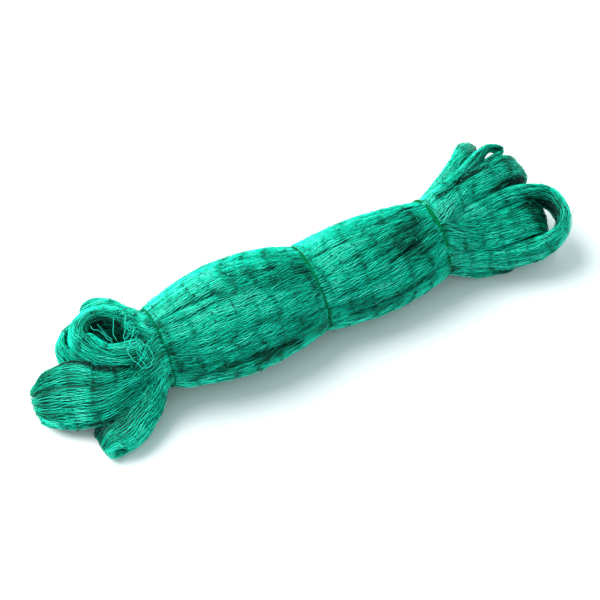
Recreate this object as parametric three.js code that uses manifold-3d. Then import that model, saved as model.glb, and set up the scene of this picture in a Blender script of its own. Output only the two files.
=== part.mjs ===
// A hank of knotted nylon fishing net. The gathered net is folded back and forth along X, so that
// six passes lie side by side between the ties and the folds stand out past each end as bights.
// Three elastic bands cinch it. It lies on a flat surface. Millimetres, +Z up, +X towards the end
// with the open bight, +Y across the hank.
import * as THREE from "three";
import { mergeVertices } from "three/addons/utils/BufferGeometryUtils.js";
import Module from "manifold-3d";

const wasm = await Module();
wasm.setup();

// ---- Driving dimensions ----

const GAP = 0.35; // between solids that touch on the real hank
const FAR = 400; // larger than the whole hank, for the blocks that trim it

// The three ties: place along the hank, half width, half height, and how high the waist is lifted.
const TIES = {
  left: { x: -128, halfWidth: 30.8, halfHeight: 30, lift: 5.5 },
  middle: { x: -3, halfWidth: 35, halfHeight: 30, lift: 3.5 },
  right: { x: 102.5, halfWidth: 31.2, halfHeight: 29.5, lift: 5.5 },
};

// Each belly swells between its two ties by this much, on top of the ties' own half sizes.
const BELLIES = {
  left: { from: TIES.left, to: TIES.middle, swellWidth: 13.3, swellHeight: 7.8 },
  right: { from: TIES.middle, to: TIES.right, swellWidth: 7.5, swellHeight: 4.3 },
};
const SWELL_POWER = 0.8;
const SETTLE = 2.2; // how far a belly would sink, before the surface flattens it
const PASS_SPLIT = 13; // the outer passes start this far to each side of the middle
const BELLY_RINGS = 11;
const BELLY_SIDES = 24;

const NECK_HALF = 2.5; // half the length of net that a band squeezes
const BAND_RADIUS = 1.3;
const BEND_SIDE_DEG = 15; // how far the hank bends sideways at the middle tie
const BEND_LIFT_DEG = 20; // how far a part of it lifts at a tie
const BEND_SPARE_DEG = 1.5;
const END_CLEARANCE = 0.5; // between a squeezed neck and the part that bends against it

const ROOT_LENGTH = 26; // the gathered net just outside an end tie, where the bights part
const ROOT_FLARE = 1.22;
const BIGHT_CLEARANCE = 4; // the bights start this far outside the neck
const FLOOR_CLEARANCE = 0.4; // and stay this far above the surface

const BIGHT_SIDES = 12;
const RINGS_PER_POINT = 2;

// Bights: the centre line, then half the thickness along the turn's axis and across it.
const ACROSS = [0, 1, 0]; // folds over and under
const UPRIGHT = [0, -0.2, 1]; // folds in the flat
const RIGHT_BIGHTS = {
  right_open_bight: {
    turn: UPRIGHT,
    route: [
      [113, 3, 33, 9, 8],
      [140, 4, 36, 12, 8.5],
      [169, 6, 38, 12.5, 8],
      [192, 2, 38, 13, 6.5],
      [205, -8, 37, 13, 5.4],
      [207, -22, 35, 13, 4.6],
      [202, -34, 33, 12.5, 5],
      [189, -41, 30, 12.5, 6.5],
      [169, -40, 26, 12, 8],
      [143, -32, 23, 11, 8],
      [117, -15, 25, 9, 8],
    ],
  },
  right_round_bight: {
    turn: ACROSS,
    route: [
      [110, 10, 42, 9, 8],
      [134, 19, 48, 12, 8.5],
      [163, 23, 50, 13, 8.5],
      [187, 28, 47, 13.5, 7],
      [195, 28, 36, 13, 6],
      [183, 24, 27, 12.5, 7],
      [156, 21, 22, 12, 9],
      [122, 13, 22, 8, 8],
    ],
  },
  right_inner_bight: {
    turn: ACROSS,
    route: [
      [110, -8, 38, 9, 7],
      [136, -15, 38, 14.5, 7],
      [161, -18, 38, 16.5, 7],
      [183, -19, 36, 16.5, 6.5],
      [191, -19, 28, 16.5, 6],
      [183, -20, 19, 14, 6.5],
      [164, -18, 13, 14, 6.5],
      [136, -11, 13, 12, 6.5],
      [116, -5, 16, 9, 6.5],
    ],
  },
  right_back_bight: {
    turn: ACROSS,
    route: [
      [111, 25, 38, 8, 9],
      [135, 38, 43, 10.5, 10],
      [157, 51, 43, 10, 9],
      [172, 63, 33, 10.5, 8.5],
      [168, 64, 19, 10, 8],
      [146, 50, 15, 10, 8],
      [120, 32, 18, 8, 8],
    ],
  },
  right_thin_bight: {
    turn: UPRIGHT,
    route: [
      [112, 19, 45, 8, 7],
      [138, 30, 47, 8.5, 8],
      [164, 45, 45, 6.5, 5.5],
      [186, 57, 42, 5, 3],
      [195, 56, 40, 5, 3],
      [196, 51, 37, 5, 3],
      [184, 49, 36, 5, 3.2],
      [162, 41, 34, 6.5, 4.5],
      [138, 28, 29, 9, 8],
    ],
  },
  right_low_bight: {
    turn: ACROSS,
    route: [
      [112, -12, 15, 8, 6],
      [130, -22, 12, 11.5, 7],
      [146, -28, 9.5, 12, 7],
      [159, -29, 8, 9, 6],
    ],
  },
};
const LEFT_BIGHTS = {
  left_fan_bight: {
    turn: ACROSS,
    route: [
      [-130, -10, 22, 13, 9],
      [-145, -11, 18, 15, 9],
      [-163, -13, 16, 18, 10],
      [-182, -9, 15, 22.5, 11],
      [-197, -2, 14, 24.5, 10],
      [-212, 5, 13, 21, 9],
      [-223, 10, 12, 13, 6],
    ],
  },
  left_tail_bight: {
    turn: ACROSS,
    route: [
      [-130, -20, 17, 10, 9],
      [-144, -27, 14, 13, 10],
      [-159, -35, 12, 15.5, 10],
      [-173, -41, 10.5, 16, 9],
      [-187, -45, 8.5, 11, 7],
    ],
  },
  left_curl_bight: {
    turn: UPRIGHT,
    route: [
      [-131, 15, 44, 8, 7],
      [-137, 23, 46, 9, 9],
      [-149, 34, 47, 8.5, 6],
      [-161, 39, 46, 10, 6.5],
      [-171, 38, 40, 15, 8],
      [-176, 31, 35, 17, 9.5],
      [-172, 20, 33, 16, 10.5],
      [-162, 9, 32, 14, 10],
      [-146, 3, 34, 12, 11.5],
      [-132, -8, 31, 9, 8],
    ],
  },
  left_outer_bight: {
    turn: UPRIGHT,
    route: [
      [-131, 19, 33, 7, 6],
      [-146, 37, 36, 8, 6],
      [-165, 46, 34, 9, 5],
      [-180, 46, 32, 10, 4.4],
      [-190, 38, 30, 10.5, 4.4],
      [-191, 27, 27, 10, 4.6],
      [-182, 17, 22, 9, 5],
      [-164, 6, 17, 8, 5],
      [-144, -1, 16, 7, 5],
      [-142, -5, 25, 6, 5],
    ],
  },
  left_back_bight: {
    turn: ACROSS,
    route: [
      [-131, 22, 40, 8, 8],
      [-139, 31, 43, 9, 8],
      [-152, 42, 44, 10.5, 8],
      [-161, 50, 34, 11, 7.5],
      [-156, 44, 22, 13, 8],
      [-141, 36, 15, 11, 8],
      [-131, 22, 18, 8, 8],
    ],
  },
};

// ---- Materials ----

const netMaterial = new THREE.MeshStandardMaterial({
  color: 0x12a884,
  roughness: 0.45,
  metalness: 0,
});
const bandMaterial = new THREE.MeshStandardMaterial({
  color: 0x0d6b2c,
  roughness: 0.5,
  metalness: 0,
});

// ---- Solids and meshes ----

function solidOf(geometry) {
  const bare = geometry.clone();
  bare.deleteAttribute("normal");
  bare.deleteAttribute("uv");
  const merged = mergeVertices(bare, 1e-4);
  return new wasm.Manifold(
    new wasm.Mesh({
      numProp: 3,
      vertProperties: merged.attributes.position.array,
      triVerts: new Uint32Array(merged.index.array),
    }),
  );
}

function meshOf(name, solid, material) {
  const { vertProperties, triVerts } = solid.getMesh();
  const geometry = new THREE.BufferGeometry();
  geometry.setAttribute("position", new THREE.BufferAttribute(vertProperties, 3));
  geometry.setIndex(new THREE.BufferAttribute(triVerts, 1));
  geometry.computeVertexNormals();
  const mesh = new THREE.Mesh(geometry, material);
  mesh.name = name;
  return mesh;
}

// Cutting can leave slivers beside the piece itself, which is the largest body.
function largest(solid) {
  return solid.decompose().reduce((a, b) => (b.volume() > a.volume() ? b : a));
}

// A closed skin through rings of points. A ring is its centre and its two half axes, u and v, and
// u cross v points the way the rings go.
function loft(rings, sides) {
  const points = [];
  const faces = [];
  for (const { centre, u, v } of rings) {
    for (let j = 0; j < sides; j++) {
      const angle = (2 * Math.PI * j) / sides;
      const p = centre.clone();
      p.addScaledVector(u, Math.cos(angle)).addScaledVector(v, Math.sin(angle));
      points.push(p.x, p.y, p.z);
    }
  }
  const first = points.length / 3;
  for (const { centre } of [rings[0], rings[rings.length - 1]]) {
    points.push(centre.x, centre.y, centre.z);
  }
  const lastRing = (rings.length - 1) * sides;
  for (let j = 0; j < sides; j++) {
    const next = (j + 1) % sides;
    for (let i = 0; i < rings.length - 1; i++) {
      const here = i * sides;
      const ahead = here + sides;
      faces.push(here + j, here + next, ahead + next);
      faces.push(here + j, ahead + next, ahead + j);
    }
    faces.push(first, next, j);
    faces.push(first + 1, lastRing + j, lastRing + next);
  }
  const geometry = new THREE.BufferGeometry();
  geometry.setAttribute("position", new THREE.Float32BufferAttribute(points, 3));
  geometry.setIndex(faces);
  return geometry;
}

// A block of material from one corner to the other, for trimming.
function block(low, high) {
  const size = new THREE.Vector3(...high).sub(new THREE.Vector3(...low));
  const centre = new THREE.Vector3(...high).add(new THREE.Vector3(...low)).divideScalar(2);
  const geometry = new THREE.BoxGeometry(size.x, size.y, size.z);
  return solidOf(geometry.translate(centre.x, centre.y, centre.z));
}

// A prism along Y or Z with the given outline, for the reliefs beside a tie.
function prism(outline, along) {
  const shape = new THREE.Shape(outline.map(([a, b]) => new THREE.Vector2(a, b)));
  const geometry = new THREE.ExtrudeGeometry(shape, { depth: 2 * FAR, bevelEnabled: false });
  geometry.translate(0, 0, -FAR);
  if (along === "y") geometry.rotateX(Math.PI / 2);
  return solidOf(geometry);
}

const heightOf = (tie) => tie.lift + tie.halfHeight;

// What stays clear beside the middle tie, so that the hank can bend to both sides: a V each way.
function sideRelief(tie) {
  const slope = Math.tan(THREE.MathUtils.degToRad(BEND_SIDE_DEG + BEND_SPARE_DEG));
  const start = tie.x - NECK_HALF - END_CLEARANCE;
  return prism(
    [
      [start, 0],
      [start - FAR * slope, -FAR],
      [FAR, -FAR],
      [FAR, FAR],
      [start - FAR * slope, FAR],
    ],
    "z",
  );
}

// What stays clear beside a tie on the side given by sign, so that the part there can lift.
function liftRelief(tie, sign) {
  const slope = Math.tan(THREE.MathUtils.degToRad(BEND_LIFT_DEG + BEND_SPARE_DEG));
  const start = tie.x + sign * (NECK_HALF + END_CLEARANCE);
  const zc = heightOf(tie);
  return prism(
    [
      [start, zc],
      [start + sign * FAR * slope, zc + FAR],
      [-sign * FAR, zc + FAR],
      [-sign * FAR, -FAR],
      [start, -FAR],
    ],
    "y",
  );
}

// ---- The bellies, and their six passes ----

function bellyRing({ from, to, swellWidth, swellHeight }, share) {
  const swell = Math.pow(Math.sin(Math.PI * share), SWELL_POWER);
  const width = THREE.MathUtils.lerp(from.halfWidth, to.halfWidth, share) + swellWidth * swell;
  const height = THREE.MathUtils.lerp(from.halfHeight, to.halfHeight, share) + swellHeight * swell;
  const lift = THREE.MathUtils.lerp(from.lift, to.lift, share) * (1 - swell) - SETTLE * swell;
  return {
    centre: new THREE.Vector3(THREE.MathUtils.lerp(from.x, to.x, share), 0, lift + height),
    u: new THREE.Vector3(0, width, 0),
    v: new THREE.Vector3(0, 0, height),
  };
}

function bellySolid(belly) {
  const rings = [];
  for (let i = 0; i < BELLY_RINGS; i++) {
    // Rings are closer together near the ties, where the swell changes fastest.
    const share = (1 - Math.cos((Math.PI * i) / (BELLY_RINGS - 1))) / 2;
    rings.push(bellyRing(belly, share));
  }
  return solidOf(loft(rings, BELLY_SIDES)).subtract(block([-FAR, -FAR, -FAR], [FAR, FAR, 0]));
}

function passes(side, belly, trimmed) {
  const middle = (heightOf(belly.from) + heightOf(belly.to)) / 2;
  const half = GAP / 2;
  const columns = {
    near: [-FAR, -PASS_SPLIT - half],
    middle: [-PASS_SPLIT + half, PASS_SPLIT - half],
    far: [PASS_SPLIT + half, FAR],
  };
  const rows = { low: [-FAR, middle - half], top: [middle + half, FAR] };
  const made = [];
  for (const [row, [z0, z1]] of Object.entries(rows)) {
    for (const [column, [y0, y1]] of Object.entries(columns)) {
      const pass = trimmed.intersect(block([-FAR, y0, z0], [FAR, y1, z1]));
      made.push(meshOf(`${side}_pass_${row}_${column}`, largest(pass), netMaterial));
    }
  }
  return made;
}

// ---- Necks and bands ----

// The net squeezed flat inside a band.
function neck(name, tie) {
  const ring = (x) => ({
    centre: new THREE.Vector3(x, 0, heightOf(tie)),
    u: new THREE.Vector3(0, tie.halfWidth, 0),
    v: new THREE.Vector3(0, 0, tie.halfHeight),
  });
  const rings = [ring(tie.x - NECK_HALF), ring(tie.x + NECK_HALF)];
  return meshOf(name, solidOf(loft(rings, BELLY_SIDES)), netMaterial);
}

// An elastic band round a neck: a round ring, stretched to the neck's oval.
function band(name, tie) {
  const reach = BAND_RADIUS + GAP;
  const ring = 10;
  const geometry = new THREE.TorusGeometry(ring, BAND_RADIUS, 8, 2 * BELLY_SIDES);
  const position = geometry.getAttribute("position");
  for (let i = 0; i < position.count; i++) {
    const angle = Math.atan2(position.getY(i), position.getX(i));
    const out = Math.hypot(position.getX(i), position.getY(i)) - ring;
    position.setXYZ(
      i,
      tie.x + position.getZ(i),
      (tie.halfWidth + reach + out) * Math.cos(angle),
      heightOf(tie) + (tie.halfHeight + reach + out) * Math.sin(angle),
    );
  }
  return meshOf(name, solidOf(geometry), bandMaterial);
}

// ---- Roots and bights ----

// The gathered net between an end tie and the place where its bights part.
function rootRings(tie, sign, grow) {
  const start = tie.x + sign * (NECK_HALF + END_CLEARANCE - grow);
  const rings = [];
  for (const share of [0, 0.5, 1]) {
    const flare = 1 + (ROOT_FLARE - 1) * Math.pow(share, 1.5);
    const half = tie.halfHeight * (1 - 0.1 * share);
    rings.push({
      centre: new THREE.Vector3(start + sign * (ROOT_LENGTH + 2 * grow) * share, 0, heightOf(tie)),
      u: new THREE.Vector3(0, sign * (tie.halfWidth * flare - 1.5 + grow), 0),
      v: new THREE.Vector3(0, 0, half - 1 + grow),
    });
  }
  return rings;
}

const rootSolid = (tie, sign, grow = 0) => solidOf(loft(rootRings(tie, sign, grow), BELLY_SIDES));

function bightSolid({ turn, route }, grow = 0) {
  const axis = new THREE.Vector3(...turn).normalize();
  const curve = new THREE.CatmullRomCurve3(
    route.map(([x, y, z]) => new THREE.Vector3(x, y, z)),
    false,
    "centripetal",
  );
  const spans = route.length - 1;
  const rings = [];
  for (let i = 0; i <= spans * RINGS_PER_POINT; i++) {
    const at = i / RINGS_PER_POINT;
    const k = Math.min(Math.floor(at), spans - 1);
    const mix = (n) => THREE.MathUtils.lerp(route[k][n], route[k + 1][n], at - k);
    const tangent = curve.getTangent(at / spans);
    const v = new THREE.Vector3().crossVectors(tangent, axis).normalize();
    const u = new THREE.Vector3().crossVectors(v, tangent).normalize();
    rings.push({
      centre: curve.getPoint(at / spans),
      u: u.multiplyScalar(mix(3) + grow),
      v: v.multiplyScalar(mix(4) + grow),
    });
  }
  return solidOf(loft(rings, BIGHT_SIDES));
}

// A root and its bights. Each bight gives way to the root, the neck and the bights before it.
function cluster(rootName, tie, sign, bights) {
  const relief = liftRelief(tie, sign);
  const made = [meshOf(rootName, largest(rootSolid(tie, sign).subtract(relief)), netMaterial)];
  const start = tie.x + sign * (NECK_HALF + BIGHT_CLEARANCE);
  const [low, high] = [start, sign * FAR].sort((a, b) => a - b);
  const outside = block([low, -FAR, FLOOR_CLEARANCE], [high, FAR, FAR]).subtract(relief);
  let taken = rootSolid(tie, sign, GAP);
  for (const [name, bight] of Object.entries(bights)) {
    const free = bightSolid(bight).intersect(outside).subtract(taken);
    made.push(meshOf(name, largest(free), netMaterial));
    taken = taken.add(bightSolid(bight, GAP));
  }
  return made;
}

// ---- The hank ----

const leftBelly = bellySolid(BELLIES.left)
  .subtract(sideRelief(TIES.middle))
  .subtract(block([-FAR, -FAR, -FAR], [TIES.left.x + NECK_HALF + GAP, FAR, FAR]));
const rightBelly = bellySolid(BELLIES.right)
  .subtract(liftRelief(TIES.middle, 1))
  .subtract(block([TIES.right.x - NECK_HALF - GAP, -FAR, -FAR], [FAR, FAR, FAR]));

const hank = new THREE.Group();
hank.add(...passes("left", BELLIES.left, leftBelly));
hank.add(...passes("right", BELLIES.right, rightBelly));
for (const [side, tie] of Object.entries(TIES)) {
  hank.add(neck(`${side}_neck`, tie), band(`${side}_band`, tie));
}
hank.add(...cluster("left_root", TIES.left, -1, LEFT_BIGHTS));
hank.add(...cluster("right_root", TIES.right, 1, RIGHT_BIGHTS));

// The origin goes to the middle of the footprint, on the surface that the hank lies on.
const box = new THREE.Box3().setFromObject(hank);
const middle = box.getCenter(new THREE.Vector3());
hank.position.set(-middle.x, -middle.y, -box.min.z);

export default hank;
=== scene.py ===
# %% [markdown]
# # A hank of knotted fishing net
#
# A fishing net is sold made up as a hank: the netting is gathered into a soft rope, folded back and
# forth, and cinched by elastic bands. What shows is thousands of fine nylon bars lying side by side,
# the knots that join them, and the folds, or bights, that stand out past the end bands.
#
# This lesson lays real threads over the frame's solids. Every bundle of netting is one kind of thing:
# a centre line with an oval section. Threads run along it, side by side, and that one idea makes the
# bellies, the bights and the place where the bights part.

import bpy
import numpy as np
from mathutils import Matrix, Vector


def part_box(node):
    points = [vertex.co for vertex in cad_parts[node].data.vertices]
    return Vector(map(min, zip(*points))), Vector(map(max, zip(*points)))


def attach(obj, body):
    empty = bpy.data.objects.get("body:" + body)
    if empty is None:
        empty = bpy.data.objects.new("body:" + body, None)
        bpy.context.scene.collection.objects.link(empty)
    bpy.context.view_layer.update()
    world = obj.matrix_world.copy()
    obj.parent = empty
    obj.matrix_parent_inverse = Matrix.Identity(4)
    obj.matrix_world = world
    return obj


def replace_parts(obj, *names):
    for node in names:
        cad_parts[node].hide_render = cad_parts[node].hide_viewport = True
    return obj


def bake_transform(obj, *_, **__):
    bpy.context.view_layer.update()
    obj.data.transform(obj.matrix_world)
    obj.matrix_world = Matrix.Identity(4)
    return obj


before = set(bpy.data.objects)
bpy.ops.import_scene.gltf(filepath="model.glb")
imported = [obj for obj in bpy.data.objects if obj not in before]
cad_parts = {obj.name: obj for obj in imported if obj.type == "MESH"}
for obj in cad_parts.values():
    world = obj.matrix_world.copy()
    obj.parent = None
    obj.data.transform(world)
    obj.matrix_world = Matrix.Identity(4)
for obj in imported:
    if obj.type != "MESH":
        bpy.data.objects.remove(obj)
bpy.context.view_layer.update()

MM = 0.001

# %% [markdown]
# ## Where the ties are
#
# Each neck of the frame is the netting squeezed inside a band, so its box gives the band's place and
# the oval that it squeezes the netting to. All other places are counted from a foot on the
# surface beside the middle tie, in millimetres, as a maker would measure a hank on a bench.

# %% The ties
def measured_tie(side):
    """The centre, half width and half height of the netting inside one band, in metres."""
    low, high = (np.array(corner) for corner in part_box(f"{side}_neck"))
    half = (high - low) / 2
    return {"at": (low + high) / 2, "wide": half[1], "high": half[2]}


FOOT_SHIFT = 3 * MM  # the foot lies this far to the right of the middle tie
TIES = {side: measured_tie(side) for side in ("left", "middle", "right")}
FOOT = TIES["middle"]["at"] * [1, 1, 0] + [FOOT_SHIFT, 0, 0]
for side, tie in TIES.items():
    print(side, "tie at", np.round(tie["at"] / MM, 1), "mm")

# %% [markdown]
# ## Camera first
#
# The camera looks down on the hank from the front left, with a long lens, so that its far end is
# hardly smaller than its near end. It is set up before any piece, because every size and place is
# judged through it.

# %% Camera
CAMERA_TURN, CAMERA_RISE = np.radians(-26.5), np.radians(54.0)
CAMERA_DISTANCE = 1.3
LENS_MM, SENSOR_MM = 102.6, 36.0
AIM_HEIGHT, AIM_OFFSET = 32.5 * MM, 9.1 * MM  # it aims a little left of and below the middle tie


def make_camera():
    """A camera on a line of sight through a point beside the middle tie."""
    turn, rise = CAMERA_TURN, CAMERA_RISE
    ahead = np.array([-np.sin(turn) * np.cos(rise), np.cos(turn) * np.cos(rise), -np.sin(rise)])
    right = np.array([np.cos(turn), np.sin(turn), 0.0])
    up = np.cross(right, ahead)
    target = FOOT + [0, 0, AIM_HEIGHT] - (right + up) * AIM_OFFSET
    data = bpy.data.cameras.new("camera")
    data.lens, data.sensor_width = LENS_MM, SENSOR_MM
    camera = bpy.data.objects.new("camera", data)
    axes = Matrix((right, up, -ahead)).transposed().to_4x4()
    camera.matrix_world = Matrix.Translation(Vector(target - ahead * CAMERA_DISTANCE)) @ axes
    bpy.context.scene.collection.objects.link(camera)
    bpy.context.scene.camera = camera
    return camera


print("camera at", np.round(make_camera().matrix_world.translation, 3))

# %% [markdown]
# ## Shader maths that reads like maths
#
# A material is a graph of nodes. Wrapping a socket in a small class lets a finish be written as an
# expression, such as `shade + fibre * 0.3`, and each operation adds its own Math node.

# %% Material helpers
class Value:
    """One output socket of a finish. Arithmetic on it adds Math nodes."""

    def __init__(self, finish, socket):
        self.finish = finish
        self.socket = socket

    def maths(self, operation, first, second):
        return self.finish.add("ShaderNodeMath", {"operation": operation}, {0: first, 1: second})

    def __add__(self, other):
        return self.maths("ADD", self, other)

    def __mul__(self, other):
        return self.maths("MULTIPLY", self, other)

    def __sub__(self, other):
        return self.maths("SUBTRACT", self, other)

    def __rsub__(self, other):
        return self.maths("SUBTRACT", other, self)

    __radd__ = __add__
    __rmul__ = __mul__


class Finish:
    """A material with one Principled shader. Constants go straight onto its sockets."""

    def __init__(self, name, **constants):
        self.material = bpy.data.materials.new(name)
        self.material.use_nodes = True
        self.tree = self.material.node_tree
        self.shader = self.tree.nodes["Principled BSDF"]
        for socket, value in constants.items():
            name = socket.replace("_", " ").title().replace("Ior", "IOR")
            self.shader.inputs[name].default_value = value

    def add(self, kind, settings=(), inputs=(), output=0):
        """A node of that kind. Its settings are set first, then its inputs' values or links."""
        node = self.tree.nodes.new(kind)
        for key, value in dict(settings).items():
            if key == "stops":
                self.set_stops(node.color_ramp, value)
            else:
                setattr(node, key, value)
        for key, value in dict(inputs).items():
            self.put(node.inputs[key], value)
        return Value(self, node.outputs[output])

    def set_stops(self, ramp, stops):
        while len(ramp.elements) < len(stops):
            ramp.elements.new(1.0)
        for element, (place, colour) in zip(ramp.elements, stops):
            element.position = place
            element.color = (*linear(colour), 1.0)

    def put(self, socket, value):
        if isinstance(value, Value):
            self.tree.links.new(value.socket, socket)
        else:
            socket.default_value = value

    def drive(self, **sockets):
        for name, value in sockets.items():
            self.put(self.shader.inputs[name.replace("_", " ").title()], value)


def linear(colour):
    """A colour written as the eye reads it, 0 to 255, in the linear numbers that shaders use."""
    part = np.asarray(colour, float) / 255
    return np.where(part <= 0.04045, part / 12.92, ((part + 0.055) / 1.055) ** 2.4).tolist()


# %% [markdown]
# ## The finish of nylon twine
#
# Nylon net is dyed in the yarn, so its colour hardly varies, but every bar catches the light at its own
# angle, knots are tighter, and bars lower in the hank are seen through others. Each thread vertex
# carries a number, `shade`, that paints light and shade into the colour: from 0 in the painted shade of
# the depths and the knots to 1 on a bar that lies proud and is painted lit. A colour ramp turns it into
# green, and its palest stops are painted highlights. Fine noise breaks up the gloss, as filaments do.

# %% Net finishes
NET_STOPS = [
    (0.0, (0, 26, 20)),
    (0.12, (0, 84, 64)),
    (0.3, (0, 142, 110)),
    (0.62, (8, 214, 177)),
    (0.85, (18, 240, 206)),
    (1.0, (80, 250, 220)),
]
# The core is the netting deep inside a bundle; its dark ramp is painted shade, seen between the threads.
SHADED_CORE_STOPS = [(0.2, (0, 36, 28)), (0.5, (0, 96, 73)), (0.8, (4, 160, 126))]
GLOSS_TINT = (0.4, 1.0, 0.88, 1.0)


def twine_finish():
    finish = Finish("nylon_twine", specular_ior_level=0.36, specular_tint=GLOSS_TINT)
    shade = finish.add("ShaderNodeAttribute", {"attribute_name": "shade"}, output="Fac")
    where = finish.add("ShaderNodeTexCoord", output="Object")
    fibre = finish.add("ShaderNodeTexNoise", inputs={"Vector": where, "Scale": 1400.0, "Detail": 2.0})
    colour = finish.add("ShaderNodeValToRGB", {"stops": NET_STOPS}, {"Fac": shade + (fibre - 0.5) * 0.35})
    finish.drive(base_color=colour, roughness=fibre * 0.3 + 0.22)
    return finish.material


def shaded_core_finish():
    finish = Finish("netting_in_painted_shade", specular_ior_level=0.25, specular_tint=GLOSS_TINT)
    uv = finish.add("ShaderNodeUVMap", {"uv_map": "along"})
    streaks = finish.add("ShaderNodeTexNoise", inputs={"Vector": uv, "Scale": 1.0, "Detail": 3.0})
    colour = finish.add("ShaderNodeValToRGB", {"stops": SHADED_CORE_STOPS}, {"Fac": streaks})
    relief = finish.add("ShaderNodeBump", inputs={"Height": streaks, "Strength": 0.6, "Distance": 0.0006})
    finish.drive(base_color=colour, roughness=streaks * 0.4 + 0.3, normal=relief)
    return finish.material


TWINE, SHADED_CORE = twine_finish(), shaded_core_finish()

# %% [markdown]
# ## Noise and smooth paths
#
# Two tools do most of the shaping. Lattice noise gives the soft clumping of threads: random heights on a
# grid, eased between its points. A smooth path carries a bundle through a few given points.

# %% Noise and paths
TABLE_SIZE = 256


def noise(across, along, seed, wrap=TABLE_SIZE):
    """Random heights from -1 to 1 on whole numbers, eased between them, closed across after wrap cells."""
    table = np.random.default_rng(seed).uniform(-1, 1, (wrap, TABLE_SIZE))
    across, along = np.broadcast_arrays(across, along)
    i, j = np.floor(across).astype(int), np.floor(along).astype(int)
    a, b = across - i, along - j
    a, b = a * a * (3 - 2 * a), b * b * (3 - 2 * b)
    i0, i1, j0, j1 = i % wrap, (i + 1) % wrap, j % TABLE_SIZE, (j + 1) % TABLE_SIZE
    near = table[i0, j0] * (1 - b) + table[i0, j1] * b
    far = table[i1, j0] * (1 - b) + table[i1, j1] * b
    return near * (1 - a) + far * a


def smooth_path(points, step):
    """Rows spaced step apart along a Catmull-Rom curve through the points. Only x, y and z count as
    length, and any further columns follow along."""
    points = np.asarray(points, float)
    ends = 2 * points[[0, -1]] - points[[1, -2]]
    padded = np.vstack([ends[:1], points, ends[1:]])
    t = np.linspace(0, len(points) - 1, 40 * len(points))
    k = np.minimum(t.astype(int), len(points) - 2)
    f = (t - k)[:, None]
    p0, p1, p2, p3 = (padded[k + n] for n in range(4))
    fine = p1 + 0.5 * f * (p2 - p0 + f * (2 * p0 - 5 * p1 + 4 * p2 - p3 + f * (3 * (p1 - p2) + p3 - p0)))
    length = np.append(0, np.cumsum(np.linalg.norm(np.diff(fine[:, :3], axis=0), axis=1)))
    even = np.linspace(0, length[-1], max(int(round(length[-1] / step)), 8) + 1)
    return np.stack([np.interp(even, length, column) for column in fine.T], axis=1), even


def unit(vectors):
    return vectors / np.maximum(np.linalg.norm(vectors, axis=-1, keepdims=True), 1e-12)


def ease(x):
    x = np.clip(x, 0, 1)
    return x * x * (3 - 2 * x)


# %% [markdown]
# ## A bundle of netting
#
# A bundle is kept as rings, one every couple of millimetres: a centre, two axes, and the oval's half
# sizes. Asking for a thread means asking for points at an angle round the oval, all along the rings,
# pushed out or in and to the side. The core is the same surface, a little smaller.

# %% The bundle
RING_STEP = 1.8 * MM


class Bundle:
    """Rings of centre + wide * cos(angle) * u + high * sin(angle) * v."""

    def __init__(self, centre, u, v, wide, high, along):
        self.centre, self.u, self.v = centre, u, v
        self.wide, self.high, self.along = wide, high, along

    def section(self, angle):
        """Offsets from the ring centres to the surface, for angles given as thread by ring."""
        out = self.wide[:, None] * np.cos(angle)[..., None] * self.u
        return out + self.high[:, None] * np.sin(angle)[..., None] * self.v

    def outward(self, angle):
        """The way out of the oval: its gradient, cos / wide along u and sin / high along v."""
        out = np.cos(angle)[..., None] * self.u / self.wide[:, None]
        return unit(out + np.sin(angle)[..., None] * self.v / self.high[:, None])

    def points(self, angle, out, aside):
        """Points at an angle, pushed out of the surface and aside round it, and the way out there."""
        normal = self.outward(angle)
        ahead = unit(np.gradient(self.centre, axis=0))
        place = self.centre + self.section(angle) + normal * out[..., None]
        place = place + np.cross(ahead, normal) * aside[..., None]
        return self.rested(place), normal

    def rested(self, place):
        """What would sink into the surface that the hank lies on spreads out on it instead."""
        place[..., 2] = np.maximum(place[..., 2], 0.45 * MM)
        return place

    def perimeter(self, share=50):
        """Round the oval: at its middling size, or at another percentile of its sizes."""
        return 2 * np.pi * np.percentile(np.sqrt((self.wide**2 + self.high**2) / 2), share)


# %% [markdown]
# ## Relief
#
# Netting that is squeezed at a tie puckers into lengthwise folds. Relief is how far the surface stands
# out or in at an angle and a place: long soft lumps, finer clumps of threads, and the deep creases
# between the passes, each a narrow V that fades at its ends.

# %% Relief
class Relief:
    def __init__(self, bundle, seed, lump=0.9 * MM, clump=0.45 * MM, creases=()):
        self.bundle, self.seed = bundle, seed
        self.lump, self.clump, self.creases = lump, clump, creases
        self.lump_cells = max(int(bundle.perimeter() / (9 * MM)), 4)
        self.clump_cells = max(int(bundle.perimeter() / (3.0 * MM)), 10)

    def __call__(self, angle):
        along = self.bundle.along
        turn = angle / (2 * np.pi)
        out = self.lump * noise(turn * self.lump_cells, along / (34 * MM), self.seed, self.lump_cells)
        fine = noise(turn * self.clump_cells, along / (15 * MM), self.seed + 1, self.clump_cells)
        out = out + self.clump * fine
        share = along / along[-1]
        for line, depth, width in self.creases:
            places, degrees = np.transpose(line)
            middle = np.radians(np.interp(share, places, degrees))
            away = (angle - middle + np.pi) % (2 * np.pi) - np.pi
            fade = ease((share - places[0]) * 8) * ease((places[-1] - share) * 8)
            reach = away * np.maximum(self.bundle.wide, self.bundle.high) / (width * MM)
            out = out - depth * MM * fade * np.exp(-reach * reach)
        return out


# %% [markdown]
# ## Threads
#
# A thread is a three-sided tube, which is plenty at half a millimetre thick. In a gathered net the bars
# lie almost parallel, and touch a neighbour to the left and to the right in turn, a knot at each touch.
# So each thread swings from side to side once in two knot rows, out of step with the next one.

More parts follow.
